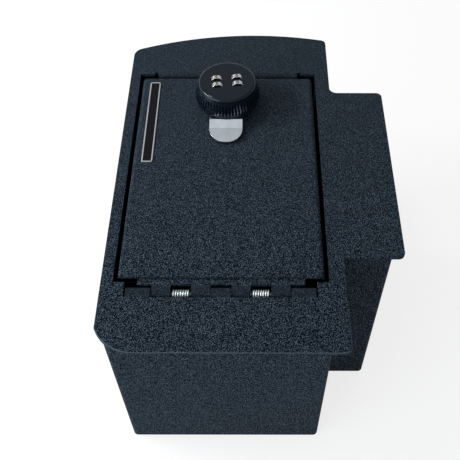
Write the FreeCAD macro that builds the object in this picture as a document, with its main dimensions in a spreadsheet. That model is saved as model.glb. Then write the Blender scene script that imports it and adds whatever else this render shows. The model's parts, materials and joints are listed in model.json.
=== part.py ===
import FreeCAD, Part
import math
import os
import Sketcher
from FreeCAD import Vector

# Safe for a vehicle's centre console: a folded steel tub under a flanged top plate, a sprung lid
# hinged at the front, and a round combination knob that turns a cam under a keeper lip.
# X runs to the right, Y to the back where the lock is, Z up. The origin is the middle of the base.

# Driving sizes in millimetres, angles in degrees, and counts
SIZES = {
    # Top plate
    "plate_width": 211.0,
    "plate_length": 314.8,
    "plate_sheet": 3.0,
    "plate_edge_round": 0.7,
    "ear_length": 166.4,
    "back_bow_radius": 280.0,
    "nose_radius": 30.0,
    "nose_inset": 27.5,
    "plate_corner_radius": 4.5,
    "back_corner_radius": 9.5,
    "inner_corner_radius": 6.0,
    # Lid opening in the plate
    "opening_width": 148.0,
    "opening_length": 209.3,
    "opening_left_margin": 8.4,
    "opening_right_margin": 11.7,
    "opening_front_margin": 53.5,
    # Keeper lip folded down at the back of the opening
    "lip_margin": 14.8,
    "lip_reach": 1.2,
    "lip_notch_width": 3.0,
    "lip_notch_depth": 2.2,
    "lip_drop": 12.0,
    "lip_bend_radius": 4.0,
    # Tub
    "safe_depth": 185.0,
    "tub_sheet": 2.0,
    "tub_bend_radius": 4.0,
    "tub_left_overhang": 2.3,
    "tub_front_overhang": 16.3,
    "tub_right_overhang": 8.6,
    "tub_back_overhang": 32.4,
    "pocket_right_overhang": 7.9,
    "pocket_side_overhang": 1.6,
    "bolt_hole_diameter": 7.0,
    "bolt_spacing_across": 90.0,
    "bolt_spacing_along": 180.0,
    # Hinge
    "pin_diameter": 3.6,
    "running_clearance": 0.05,
    "hinge_setback": 7.37,
    "hinge_slot_margin": 8.35,
    "hinge_slot_clearance": 0.58,
    "knuckle_pitch": 13.6,
    "knuckle_gap": 0.5,
    "end_tongue_length": 17.0,
    "knuckle_wrap": 265.0,
    # Hinge springs
    "spring_wire": 1.15,
    "spring_mean_radius": 3.2,
    "spring_coil_pitch": 1.65,
    "spring_turns": 7,
    "spring_leg_rise": 25.0,
    "spring_leg_length": 8.6,
    # Lid
    "lid_sheet": 2.5,
    "lid_side_gap": 3.05,
    "lid_front_gap": 2.8,
    "lid_back_gap": 5.8,
    "lid_flange_drop": 7.5,
    "lid_flange_setback": 5.2,
    "lid_bend_radius": 3.2,
    "lid_front_round": 0.8,
    "leaf_sheet": 2.5,
    "leaf_edge_clearance": 0.85,
    "leaf_reach": 27.2,
    "leaf_length": 114.8,
    # Blank badge on the lid
    "badge_width": 8.4,
    "badge_length": 89.0,
    "badge_left_margin": 6.75,
    "badge_back_margin": 7.5,
    "badge_thickness": 0.8,
    "badge_rim": 0.9,
    "badge_recess": 0.4,
    "badge_corner_radius": 1.6,
    # Lock housing and what is clamped with it
    "lock_offset": 0.9,
    "lock_back_margin": 37.8,
    "mounting_clearance": 0.1,
    "barrel_diameter": 22.0,
    "housing_flange_diameter": 43.0,
    "housing_flange_thickness": 1.6,
    "spacer_diameter": 34.0,
    "spacer_height": 6.0,
    "lock_washer_diameter": 34.0,
    "lock_washer_thickness": 2.0,
    "lock_nut_width": 30.0,
    "lock_nut_height": 5.0,
    "barrel_tail": 3.0,
    # Pull tab
    "tab_sheet": 1.6,
    "tab_ring_diameter": 36.0,
    "tab_width": 26.0,
    "tab_offset": -0.7,
    "tab_end_radius": 12.0,
    "tab_flat_reach": 25.5,
    "tab_bend_reach": 7.1,
    "tab_bend_drop": 2.6,
    "tab_tip_reach": 12.8,
    "tab_tip_drop": 2.2,
    # Spindle and cam
    "spindle_diameter": 12.0,
    "spindle_flange_diameter": 33.0,
    "spindle_flange_thickness": 2.0,
    "thrust_gap": 0.1,
    "clip_diameter": 17.0,
    "clip_thickness": 0.9,
    "clip_groove_depth": 0.8,
    "clip_end_gap": 0.2,
    "clip_mouth": 7.0,
    "drive_square": 8.4,
    "cam_length": 40.0,
    "cam_heel": 9.0,
    "cam_width": 14.0,
    "cam_thickness": 3.0,
    "cam_corner_radius": 4.0,
    "cam_lip_clearance": 0.4,
    "cam_washer_diameter": 16.0,
    "cam_washer_thickness": 1.0,
    "cam_screw_diameter": 5.0,
    "cam_screw_grip": 7.0,
    "cam_screw_head_width": 8.0,
    "cam_screw_head_height": 3.0,
    # Knob
    "skirt_clearance": 0.8,
    "skirt_side_clearance": 0.4,
    "knob_height": 13.3,
    "knob_face_diameter": 44.6,
    "knob_shoulder_diameter": 51.0,
    "knob_face_round": 2.0,
    "knob_turn": 6.0,
    "knurl_diameter": 51.4,
    "knurl_height": 4.6,
    "knurl_foot": 1.8,
    "knurl_bevel": 0.4,
    "knurl_count": 60,
    "knurl_depth": 0.7,
    "knurl_groove_width": 1.4,
    "knob_screw_circle": 26.0,
    "knob_screw_diameter": 2.5,
    "knob_screw_head_diameter": 4.6,
    "knob_screw_head_height": 1.1,
    "knob_screw_cover": 1.6,
    # Dials
    "dial_diameter": 12.6,
    "dial_thickness": 3.6,
    "dial_axle_depth": 4.7,
    "dial_column_spacing": 16.2,
    "dial_row_spacing": 7.8,
    "dial_clearance": 0.4,
    "dial_faces": 10,
    "axle_diameter": 2.4,
    "axle_length": 14.0,
    "detent_thickness": 0.3,
    "detent_length": 8.0,
}

TINY = 1e-4
FULL_TURN = 360.0
HEX_SIDES = 6
SAMPLES_PER_ARC = 12

doc = FreeCAD.newDocument("ConsoleSafe")
sheet = doc.addObject("Spreadsheet::Sheet", "Sizes")
for row, (alias, value) in enumerate(SIZES.items(), start=1):
    sheet.set("A%d" % row, alias)
    sheet.set("B%d" % row, str(value))
    sheet.setAlias("B%d" % row, alias)
doc.recompute()


class Formula:
    """A value worked out from the sheet, held as an expression and as the number it gives."""

    def __init__(self, text, number):
        self.text = text
        self.number = number

    def __add__(self, other):
        other = as_formula(other)
        return Formula("(%s + %s)" % (self.text, other.text), self.number + other.number)

    def __sub__(self, other):
        other = as_formula(other)
        return Formula("(%s - %s)" % (self.text, other.text), self.number - other.number)

    def __mul__(self, other):
        other = as_formula(other)
        return Formula("(%s * %s)" % (self.text, other.text), self.number * other.number)

    def __truediv__(self, other):
        other = as_formula(other)
        return Formula("(%s / %s)" % (self.text, other.text), self.number / other.number)

    def __neg__(self):
        return self * -1


def as_formula(value):
    """A plain number as a formula; a formula stays as it is."""
    if isinstance(value, Formula):
        return value
    return Formula("(%r)" % float(value), float(value))


def size(alias):
    """One cell of the sheet."""
    return Formula("Sizes." + alias, float(sheet.get(alias)))


def cosine(angle):
    return Formula("cos(%s)" % angle.text, math.cos(math.radians(angle.number)))


def sine(angle):
    return Formula("sin(%s)" % angle.text, math.sin(math.radians(angle.number)))


def root(value):
    return Formula("sqrt(%s)" % value.text, math.sqrt(value.number))


ZERO = as_formula(0)


class Bend:
    """Makes the stretch after a corner an arc; turn is 1 where it bends left, -1 where right."""

    def __init__(self, radius, turn, over_half=False):
        self.radius = radius
        self.turn = turn
        self.over_half = over_half


# Sketches and features

def new_body(label, x=ZERO, y=ZERO, z=ZERO, turn=ZERO):
    """An empty body under its own label, placed by formulas and turned about Z."""
    body = doc.addObject("PartDesign::Body", "Body_" + label)
    body.Label = label
    place(body, x, y, z, turn)
    return body


def place(thing, x, y, z, turn=ZERO):
    """Binds an object's Placement to formulas."""
    thing.Placement = FreeCAD.Placement(Vector(), FreeCAD.Rotation(Vector(0, 0, 1), turn.number))
    thing.setExpression("Placement.Base.x", x.text)
    thing.setExpression("Placement.Base.y", y.text)
    thing.setExpression("Placement.Base.z", z.text)
    if turn is not ZERO:
        thing.setExpression("Placement.Rotation.Angle", turn.text)


def new_sketch(body, plane, offset=ZERO):
    """A sketch on one of the body's own planes, moved along that plane's normal."""
    sketch = body.newObject("Sketcher::SketchObject", "Sketch_" + body.Label)
    support = [feature for feature in body.Origin.OriginFeatures if feature.Role == plane][0]
    sketch.AttachmentSupport = [(support, "")]
    sketch.MapMode = "FlatFace"
    sketch.setExpression("AttachmentOffset.Base.z", offset.text)
    return sketch


def bind(sketch, text):
    """Binds the newest constraint of a sketch to an expression."""
    sketch.setExpression("Constraints[%d]" % (sketch.ConstraintCount - 1), text)


def pin_point(sketch, geometry, end, x, y):
    """Dimensions one point of a sketch from the sketch's origin."""
    sketch.addConstraint(Sketcher.Constraint("DistanceX", -1, 1, geometry, end, x.number))
    bind(sketch, x.text)
    sketch.addConstraint(Sketcher.Constraint("DistanceY", -1, 1, geometry, end, y.number))
    bind(sketch, y.text)


def arc_between(start, finish, bend):
    """The arc of a bend from start to finish."""
    chord = finish - start
    rise = math.sqrt(max(bend.radius.number ** 2 - (chord.Length / 2) ** 2, 0.0))
    if bend.over_half:
        rise = -rise
    left = Vector(-chord.y, chord.x, 0).normalize()
    centre = (start + finish) / 2 + left * (rise * bend.turn)
    first, last = (start, finish) if bend.turn > 0 else (finish, start)
    low = math.atan2(first.y - centre.y, first.x - centre.x)
    high = math.atan2(last.y - centre.y, last.x - centre.x)
    if high < low:
        high += math.tau
    return Part.ArcOfCircle(Part.Circle(centre, Vector(0, 0, 1), bend.radius.number), low, high)


def outline(sketch, corners):
    """A closed outline; a corner is (x, y), or (x, y, Bend) where an arc runs to the next one."""
    first = sketch.GeometryCount
    points = [Vector(corner[0].number, corner[1].number, 0) for corner in corners]
    ends = []
    for index, corner in enumerate(corners):
        following = points[(index + 1) % len(points)]
        if len(corner) == 2:
            sketch.addGeometry(Part.LineSegment(points[index], following), False)
            ends.append((1, 2))
            continue
        bend = corner[2]
        sketch.addGeometry(arc_between(points[index], following, bend), False)
        sketch.addConstraint(Sketcher.Constraint("Radius", first + index, bend.radius.number))
        bind(sketch, bend.radius.text)
        ends.append((1, 2) if bend.turn > 0 else (2, 1))
    for index, corner in enumerate(corners):
        after = (index + 1) % len(corners)
        sketch.addConstraint(Sketcher.Constraint(
            "Coincident", first + index, ends[index][1], first + after, ends[after][0]))
        pin_point(sketch, first + index, ends[index][0], corner[0], corner[1])


def circle(sketch, x, y, radius):
    """A circle with its centre and radius bound to formulas."""
    centre = Vector(x.number, y.number, 0)
    index = sketch.addGeometry(Part.Circle(centre, Vector(0, 0, 1), radius.number), False)
    sketch.addConstraint(Sketcher.Constraint("Radius", index, radius.number))
    bind(sketch, radius.text)
    pin_point(sketch, index, 3, x, y)


def rectangle(sketch, left, right, low, high):
    outline(sketch, [(left, low), (right, low), (right, high), (left, high)])


def hexagon(sketch, width):
    """A hexagon about the origin, given its width across the flats."""
    corner = width / 2 / math.cos(math.pi / HEX_SIDES)
    angles = [math.tau * step / HEX_SIDES for step in range(HEX_SIDES)]
    outline(sketch, [(corner * math.cos(angle), corner * math.sin(angle)) for angle in angles])


def pad(body, sketch, length):
    feature = body.newObject("PartDesign::Pad", "Pad_" + body.Label)
    feature.Profile = sketch
    feature.setExpression("Length", length.text)
    return feature


def pocket(body, sketch, depth=None, along_normal=True):
    """Cuts a sketch into the body, right through where no depth is given."""
    doc.recompute()
    before = body.Shape.Volume
    feature = body.newObject("PartDesign::Pocket", "Pocket_" + body.Label)
    feature.Profile = sketch
    feature.Reversed = along_normal
    if depth is None:
        feature.Type = "ThroughAll"
    else:
        feature.setExpression("Length", depth.text)
    doc.recompute()
    if body.Shape.Volume > before - TINY:
        raise ValueError("a pocket of %s cuts nothing" % body.Label)
    return feature


def revolve(body, corners):
    """Turns an outline of (radius, height) corners about Z."""
    sketch = new_sketch(body, "XZ_Plane")
    outline(sketch, corners)
    feature = body.newObject("PartDesign::Revolution", "Revolution_" + body.Label)
    feature.Profile = sketch
    feature.ReferenceAxis = (sketch, ["V_Axis"])
    feature.Angle = FULL_TURN
    return feature


def round_edges(body, wanted, radius):
    """Rounds the edges of the body that pass a test."""
    doc.recompute()
    base = body.Tip
    names = ["Edge%d" % number for number, edge in enumerate(base.Shape.Edges, start=1) if wanted(edge)]
    if not names:
        raise ValueError("no edges of %s to round" % body.Label)
    feature = body.newObject("PartDesign::Fillet", "Fillet_" + body.Label)
    feature.Base = (base, names)
    feature.setExpression("Radius", radius.text)
    return feature


def upright_at(*places):
    """A test for edges that stand along Z at one of the places."""
    def wanted(edge):
        ends = [vertex.Point for vertex in edge.Vertexes]
        if len(ends) != 2 or (ends[0] - ends[1]).Length < TINY:
            return False
        if math.hypot(ends[0].x - ends[1].x, ends[0].y - ends[1].y) > TINY:
            return False
        return any(
            math.hypot(ends[0].x - x.number, ends[0].y - y.number) < TINY for x, y in places)
    return wanted


def level_at(height, also=None):
    """A test for edges that lie wholly at one height, and pass a second test if one is given."""
    def wanted(edge):
        box = edge.BoundBox
        if abs(box.ZMin - height.number) > TINY or abs(box.ZMax - height.number) > TINY:
            return False
        return also is None or also(edge)
    return wanted


def group(label, members, x, y, z, turn):
    """Several separate solids under one label."""
    compound = doc.addObject("Part::Compound", "Group_" + label)
    compound.Links = members
    compound.Label = label
    place(compound, x, y, z, turn)
    return compound


def cylinder(label, radius, length, x, y, z):
    """An upright cylinder standing on (x, y, z)."""
    solid = doc.addObject("Part::Cylinder", "Cylinder_" + label)
    solid.setExpression("Radius", radius.text)
    solid.setExpression("Height", length.text)
    place(solid, x, y, z)
    return solid


# Places that several pieces share, in the plan
left = -size("plate_width") / 2
right = size("plate_width") / 2
front = -size("plate_length") / 2
back = size("plate_length") / 2
ear_half = size("ear_length") / 2

open_left = left + size("opening_left_margin")
open_right = open_left + size("opening_width")
open_front = front + size("opening_front_margin")
open_back = open_front + size("opening_length")
open_middle = (open_left + open_right) / 2
main_right = open_right + size("opening_right_margin")

tub_left = left + size("tub_left_overhang")
tub_right = main_right - size("tub_right_overhang")
tub_front = front + size("tub_front_overhang")
tub_back = back - size("tub_back_overhang")
pocket_right = right - size("pocket_right_overhang")
pocket_half = ear_half - size("pocket_side_overhang")

lid_left = open_left + size("lid_side_gap")
lid_right = open_right - size("lid_side_gap")
lid_front = open_front + size("lid_front_gap")
lid_back = open_back - size("lid_back_gap")

lock_x = open_middle + size("lock_offset")
lock_y = open_back - size("lock_back_margin")

# Heights; those of the plate, lid and lock are measured from the plate's top face
plate_top = size("safe_depth")
plate_under = -size("plate_sheet")
pin_radius = size("pin_diameter") / 2
bore_radius = pin_radius + size("running_clearance")
plate_curl = bore_radius + size("plate_sheet")
leaf_curl = bore_radius + size("leaf_sheet")
axis_y = open_front - size("hinge_setback")
axis_z = -plate_curl
lid_under = axis_z + leaf_curl
lid_top = lid_under + size("lid_sheet")
leaf_under = lid_under - size("leaf_sheet")
slot_front = axis_y - leaf_curl - size("hinge_slot_clearance")
leaf_front = axis_y + plate_curl + size("leaf_edge_clearance")

tab_low = lid_top + size("spacer_height")
tab_top = tab_low + size("tab_sheet")
housing_top = tab_top + size("housing_flange_thickness")
spindle_seat = housing_top + size("thrust_gap")
knob_ceiling = spindle_seat + size("spindle_flange_thickness")
knob_top = knob_ceiling + size("knob_height")
skirt_low = tab_top + size("skirt_clearance")
axle_z = knob_top - size("dial_axle_depth")
nut_top = lid_under - size("lock_washer_thickness")
nut_low = nut_top - size("lock_nut_height")
barrel_low = nut_low - size("barrel_tail")
cam_top = -size("lip_drop") - size("cam_lip_clearance")
cam_low = cam_top - size("cam_thickness")
cam_washer_low = cam_low - size("cam_washer_thickness")

barrel_radius = size("barrel_diameter") / 2
barrel_hole = barrel_radius + size("mounting_clearance")
spindle_radius = size("spindle_diameter") / 2

# Knuckles along the hinge, measured from the middle of the opening
half_gap = size("knuckle_gap") / 2
knuckle_length = size("knuckle_pitch") - size("knuckle_gap")
LEAF_BAYS = (-3, -1, 1, 3)
SPRING_BAYS = {"hinge_spring_left": -2, "hinge_spring_right": 2}
END_BAY = 4


def bay_middle(bay):
    """Middle of a bay of the hinge; bay 0 is in the middle of the opening."""
    return open_middle + size("knuckle_pitch") * bay


def bay_start(bay):
    return bay_middle(bay) - size("knuckle_pitch") / 2


end_start = bay_start(END_BAY) - open_middle


def curl(body, start, length, root_y, radius, side):
    """One rolled knuckle about the hinge axis; side is where its root lies, 1 behind, -1 in front."""
    wrap = size("knuckle_wrap")
    reach = sine(wrap) * -side
    fall = cosine(wrap)
    top = axis_z + radius
    outside = Bend(radius, side, over_half=True)
    inside = Bend(bore_radius, -side, over_half=True)
    sketch = new_sketch(body, "YZ_Plane", start)
    outline(sketch, [
        (root_y, top),
        (axis_y, top, outside),
        (axis_y + reach * radius, axis_z + fall * radius),
        (axis_y + reach * bore_radius, axis_z + fall * bore_radius, inside),
        (axis_y, axis_z + bore_radius),
        (root_y, axis_z + bore_radius),
    ])
    pad(body, sketch, length)


# Top plate: outline, opening, three rolled tongues and the keeper lip

def make_top_plate():
    body = new_body("top_plate", z=plate_top)
    bow = size("back_bow_radius")
    back_right_y = back - bow + root(bow * bow - main_right * main_right)
    back_left_y = back - bow + root(bow * bow - left * left)
    nose = size("nose_radius")
    inset = size("nose_inset")
    nose_y = front + nose - root(nose * nose - inset * inset)
    sketch = new_sketch(body, "XY_Plane", plate_under)
    outline(sketch, [
        (left + inset, front),
        (main_right, front),
        (main_right, -ear_half),
        (right, -ear_half),
        (right, ear_half),
        (main_right, ear_half),
        (main_right, back_right_y, Bend(bow, 1)),
        (left, back_left_y),
        (left, nose_y, Bend(nose, 1)),
    ])
    pad(body, sketch, size("plate_sheet"))
    corners = [(main_right, front), (right, -ear_half), (right, ear_half), (main_right, back_right_y)]
    round_edges(body, upright_at(*corners), size("plate_corner_radius"))
    round_edges(body, upright_at((left, back_left_y)), size("back_corner_radius"))
    round_edges(body, upright_at((main_right, ear_half)), size("inner_corner_radius"))
    round_edges(body, level_at(ZERO), size("plate_edge_round"))

    slot_left = open_left + size("hinge_slot_margin")
    slot_right = open_right - size("hinge_slot_margin")
    notch_left = open_left + size("lip_margin") - size("lip_notch_width")
    notch_right = open_right - size("lip_margin") + size("lip_notch_width")
    notch_back = open_back + size("lip_notch_depth")
    sketch = new_sketch(body, "XY_Plane", plate_under)
    outline(sketch, [
        (slot_left, slot_front),
        (slot_right, slot_front),
        (slot_right, open_front),
        (open_right, open_front),
        (open_right, open_back),
        (notch_right, open_back),
        (notch_right, notch_back),
        (notch_left, notch_back),
        (notch_left, open_back),
        (open_left, open_back),
        (open_left, open_front),
        (slot_left, open_front),
    ])
    pocket(body, sketch)

    root_y = slot_front - size("plate_sheet")
    curl(body, bay_start(0) + half_gap, knuckle_length, root_y, plate_curl, -1)
    left_start = open_middle - end_start - size("end_tongue_length")
    curl(body, left_start, size("end_tongue_length") - half_gap, root_y, plate_curl, -1)
    right_start = bay_start(END_BAY) + half_gap
    curl(body, right_start, size("end_tongue_length") - half_gap, root_y, plate_curl, -1)

    bend = size("lip_bend_radius")
    thick = size("plate_sheet")
    lip_front = open_back - size("lip_reach")
    sketch = new_sketch(body, "YZ_Plane", open_left + size("lip_margin"))
    outline(sketch, [
        (notch_back + thick, plate_under),
        (notch_back + thick, ZERO),
        (lip_front + bend, ZERO, Bend(bend, 1)),
        (lip_front, -bend),
        (lip_front, -size("lip_drop")),
        (lip_front + thick, -size("lip_drop")),
        (lip_front + thick, -bend, Bend(bend - thick, -1)),
        (lip_front + bend, plate_under),
    ])
    pad(body, sketch, size("opening_width") - size("lip_margin") * 2)
    return body


# Tub: floor, main wrap and side pocket

def make_tub_floor():
    body = new_body("tub_floor")
    sketch = new_sketch(body, "XY_Plane")
    outer = [
        (tub_left, tub_front),
        (tub_right, tub_front),
        (tub_right, -pocket_half),
        (pocket_right, -pocket_half),
        (pocket_right, pocket_half),
        (tub_right, pocket_half),
        (tub_right, tub_back),
        (tub_left, tub_back),
    ]
    outline(sketch, outer)
    pad(body, sketch, size("tub_sheet"))
    outside = [outer[index] for index in (0, 1, 3, 4, 6, 7)]
    round_edges(body, upright_at(*outside), size("tub_bend_radius"))
    sketch = new_sketch(body, "XY_Plane")
    middle_x = (tub_left + tub_right) / 2
    middle_y = (tub_front + tub_back) / 2
    for across in (-1, 1):
        for along in (-1, 1):
            x = middle_x + size("bolt_spacing_across") / 2 * across
            y = middle_y + size("bolt_spacing_along") / 2 * along
            circle(sketch, x, y, size("bolt_hole_diameter") / 2)
    pocket(body, sketch)
    return body


def make_wrap(label, corners, outer, inner):
    """A folded wall standing on the floor, with its bends at the given corners."""
    body = new_body(label, z=size("tub_sheet"))
    sketch = new_sketch(body, "XY_Plane")
    outline(sketch, corners)
    pad(body, sketch, plate_top + plate_under - size("tub_sheet"))
    round_edges(body, upright_at(*[corners[index] for index in outer]), size("tub_bend_radius"))
    inside_radius = size("tub_bend_radius") - size("tub_sheet")
    round_edges(body, upright_at(*[corners[index] for index in inner]), inside_radius)
    return body


def make_tub_wrap():
    wall = size("tub_sheet")
    corners = [
        (tub_right, tub_front),
        (tub_right, wall - pocket_half),
        (tub_right - wall, wall - pocket_half),
        (tub_right - wall, tub_front + wall),
        (tub_left + wall, tub_front + wall),
        (tub_left + wall, tub_back - wall),
        (tub_right - wall, tub_back - wall),
        (tub_right - wall, pocket_half - wall),
        (tub_right, pocket_half - wall),
        (tub_right, tub_back),
        (tub_left, tub_back),
        (tub_left, tub_front),
    ]
    return make_wrap("tub_wrap", corners, (0, 9, 10, 11), (3, 4, 5, 6))


def make_pocket_wrap():
    wall = size("tub_sheet")
    corners = [
        (tub_right, -pocket_half),
        (pocket_right, -pocket_half),
        (pocket_right, pocket_half),
        (tub_right, pocket_half),
        (tub_right, pocket_half - wall),
        (pocket_right - wall, pocket_half - wall),
        (pocket_right - wall, wall - pocket_half),
        (tub_right, wall - pocket_half),
    ]
    return make_wrap("pocket_wrap", corners, (1, 2), (5, 6))


# Hinge: pin and torsion springs

def make_hinge_pin():
    body = new_body("hinge_pin", y=axis_y, z=plate_top + axis_z)
    half_length = end_start + size("end_tongue_length")
    sketch = new_sketch(body, "YZ_Plane", open_middle - half_length)
    circle(sketch, ZERO, ZERO, pin_radius)
    pad(body, sketch, half_length * 2)
    return body


def biarc(start, start_way, finish, finish_way):
    """Two arcs that leave start and reach finish along the given unit directions."""
    span = finish - start
    ways = start_way + finish_way
    square = ways.dot(ways) - 4.0
    slope = span.dot(ways)
    reach = (slope - math.sqrt(slope ** 2 - square * span.dot(span))) / square
    first = start + start_way * reach
    second = finish - finish_way * reach
    joint = (first + second) / 2
    arcs = []
    for low, corner, high in ((start, first, joint), (joint, second, finish)):
        weight = (high - low).Length / (2 * reach)
        through = (low + corner * (2 * weight) + high) / (2 + 2 * weight)
        arcs.append(Part.Arc(low, through, high))
    return arcs


def least_gap(curves, wire):
    """The least clear distance between turns of a wound wire, measured on points along it."""
    points = []
    travelled = 0.0
    for curve in curves:
        step = curve.length() / SAMPLES_PER_ARC
        for point in curve.discretize(SAMPLES_PER_ARC + 1)[:-1]:
            points.append((travelled, point))
            travelled += step
    apart = math.pi * wire
    distances = [
        (one - other).Length
        for index, (here, one) in enumerate(points)
        for there, other in points[index + 1:]
        if there - here > apart
    ]
    return min(distances) - wire


def make_hinge_spring(label, middle):
    """A torsion spring on the pin: one leg presses under the plate, the other under the leaf."""
    wire = sheet.get("spring_wire")
    radius = sheet.get("spring_mean_radius")
    pitch = sheet.get("spring_coil_pitch")
    rise = math.radians(sheet.get("spring_leg_rise"))
    leg = sheet.get("spring_leg_length")
    begin = -math.pi / 2 - rise
    sweep = math.tau * sheet.get("spring_turns") + 2 * rise
    quarters = math.ceil(sweep / (math.pi / 2))
    points = []
    ways = []
    for step in range(quarters + 1):
        share = step / quarters
        angle = begin + sweep * share
        x = middle.number - pitch * sweep / math.tau * (share - 0.5)
        lead = 0.0 if step in (0, quarters) else -pitch / math.tau
        points.append(Vector(x, radius * math.cos(angle), radius * math.sin(angle)))
        way = Vector(lead, -radius * math.sin(angle), radius * math.cos(angle))
        ways.append(way.normalize())
    tail = points[0] - ways[0] * leg
    tip = points[-1] + ways[-1] * leg
    curves = [Part.LineSegment(tail, points[0])]
    for step in range(quarters):
        curves += biarc(points[step], ways[step], points[step + 1], ways[step + 1])
    curves.append(Part.LineSegment(points[-1], tip))
    path = Part.Wire([curve.toShape() for curve in curves])
    section = Part.Wire(Part.Circle(tail, ways[0], wire / 2).toShape())
    shell = Part.BRepOffsetAPI.MakePipeShell(path)
    shell.add(section)
    shell.build()
    shell.makeSolid()
    spring = doc.addObject("Part::Feature", "Feature_" + label)
    spring.Label = label
    spring.Shape = shell.shape()
    place(spring, ZERO, axis_y, plate_top + axis_z)
    expected = path.Length * math.pi * wire ** 2 / 4
    print("%s: least gap %.3f mm, volume %.4f of section times length" % (
        label, least_gap(curves, wire), spring.Shape.Volume / expected))
    return spring


# Lid: folded skin, hinge leaf and blank badge

def make_lid_skin():
    body = new_body("lid_skin", z=plate_top)
    thick = size("lid_sheet")
    flange_low = lid_under - size("lid_flange_drop")
    sketch = new_sketch(body, "XY_Plane", flange_low)
    rectangle(sketch, lid_left, lid_right, lid_front, lid_back)
    pad(body, sketch, lid_top - flange_low)
    round_edges(body, upright_at((lid_left, lid_back), (lid_right, lid_back)), size("lid_bend_radius"))

    def behind_front(edge):
        return edge.BoundBox.YMax > lid_front.number + TINY

    def along_front(edge):
        return edge.BoundBox.YMax < lid_front.number + TINY

    round_edges(body, level_at(lid_top, behind_front), size("lid_bend_radius"))
    round_edges(body, level_at(lid_top, along_front), size("lid_front_round"))
    sketch = new_sketch(body, "XY_Plane", flange_low)
    flange_front = lid_front + size("lid_flange_setback")
    outline(sketch, [
        (lid_left - thick, lid_front - thick),
        (lid_right + thick, lid_front - thick),
        (lid_right + thick, flange_front),
        (lid_right - thick, flange_front),
        (lid_right - thick, lid_back - thick),
        (lid_left + thick, lid_back - thick),
        (lid_left + thick, flange_front),
        (lid_left - thick, flange_front),
    ])
    pocket(body, sketch, size("lid_flange_drop"))
    sketch = new_sketch(body, "XY_Plane", flange_low)
    circle(sketch, lock_x, lock_y, barrel_hole)
    pocket(body, sketch)
    return body


def make_hinge_leaf():
    body = new_body("hinge_leaf", z=plate_top)
    half = size("leaf_length") / 2
    leaf_back = lid_front + size("leaf_reach")
    sketch = new_sketch(body, "XY_Plane", leaf_under)
    rectangle(sketch, open_middle - half, open_middle + half, leaf_front, leaf_back)
    pad(body, sketch, size("leaf_sheet"))
    root_y = leaf_front + size("leaf_sheet")
    for bay in LEAF_BAYS:
        curl(body, bay_start(bay) + half_gap, knuckle_length, root_y, leaf_curl, 1)
    return body


def badge_place():
    """Left, right, front and back of the badge."""
    badge_left = lid_left + size("badge_left_margin")
    badge_back = lid_back - size("badge_back_margin")
    return badge_left, badge_left + size("badge_width"), badge_back - size("badge_length"), badge_back


def make_badge_plate():
    body = new_body("badge_plate", z=plate_top + lid_top)
    west, east, south, north = badge_place()
    sketch = new_sketch(body, "XY_Plane")
    rectangle(sketch, west, east, south, north)
    pad(body, sketch, size("badge_thickness"))
    corners = [(west, south), (east, south), (east, north), (west, north)]
    round_edges(body, upright_at(*corners), size("badge_corner_radius"))
    rim = size("badge_rim")
    sketch = new_sketch(body, "XY_Plane", size("badge_thickness"))
    rectangle(sketch, west + rim, east - rim, south + rim, north - rim)
    pocket(body, sketch, size("badge_recess"), along_normal=False)
    return body


def make_badge_inlay():
    body = new_body("badge_inlay", z=plate_top + lid_top + size("badge_thickness") - size("badge_recess"))
    west, east, south, north = badge_place()
    rim = size("badge_rim")
    sketch = new_sketch(body, "XY_Plane")
    rectangle(sketch, west + rim, east - rim, south + rim, north - rim)
    pad(body, sketch, size("badge_recess") / 2)
    return body


# Lock pieces clamped to the lid, all about the lock's axis

def lock_body(label, turn=ZERO):
    return new_body(label, lock_x, lock_y, plate_top, turn)


def make_ring(label, hole, radius, low, height, turn=ZERO):
    """A flat ring about the lock's axis."""
    body = lock_body(label, turn)
    sketch = new_sketch(body, "XY_Plane", low)
    circle(sketch, ZERO, ZERO, radius)
    circle(sketch, ZERO, ZERO, hole)
    pad(body, sketch, height)
    return body


def make_lock_nut():
    body = lock_body("lock_nut")
    sketch = new_sketch(body, "XY_Plane", nut_low)
    hexagon(sketch, size("lock_nut_width"))
    circle(sketch, ZERO, ZERO, barrel_radius)
    pad(body, sketch, size("lock_nut_height"))
    return body


def make_lock_housing():
    body = lock_body("lock_housing")
    bore = spindle_radius + size("running_clearance")
    flange = size("housing_flange_diameter") / 2
    revolve(body, [
        (bore, barrel_low),
        (barrel_radius, barrel_low),
        (barrel_radius, tab_top),
        (flange, tab_top),
        (flange, housing_top),
        (bore, housing_top),
    ])
    return body


def make_pull_tab():
    body = make_ring("pull_tab", barrel_hole, size("tab_ring_diameter") / 2, tab_low, size("tab_sheet"))
    thick = size("tab_sheet")
    half = size("tab_width") / 2
    first = -size("tab_flat_reach")
    second = first - size("tab_bend_reach")
    tip = second - size("tab_tip_reach")
    second_top = tab_top - size("tab_bend_drop")
    tip_top = second_top - size("tab_tip_drop")
    root_y = -barrel_hole - thick
    sketch = new_sketch(body, "YZ_Plane", size("tab_offset") - half)
    outline(sketch, [
        (root_y, tab_top),
        (first, tab_top),
        (second, second_top),
        (tip, tip_top),
        (tip, tip_top - thick),
        (second, second_top - thick),
        (first, tab_low),
        (root_y, tab_low),
    ])
    pad(body, sketch, size("tab_width"))
    radius = size("tab_end_radius")
    sketch = new_sketch(body, "XY_Plane", tip_top - thick)
    for side in (-1, 1):
        edge = size("tab_offset") + half * side
        outline(sketch, [
            (edge, tip + radius, Bend(radius, -side)),
            (edge - radius * side, tip),
            (edge - radius * side, tip - thick),
            (edge + thick * side, tip - thick),
            (edge + thick * side, tip + radius),
        ])
    pocket(body, sketch)
    return body


# Knob: everything here turns with the spindle

def screw_places():
    """Centres of the four knob screws about the knob's axis."""
    reach = size("knob_screw_circle") / 2
    return [(reach, ZERO), (ZERO, reach), (-reach, ZERO), (ZERO, -reach)]


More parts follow.
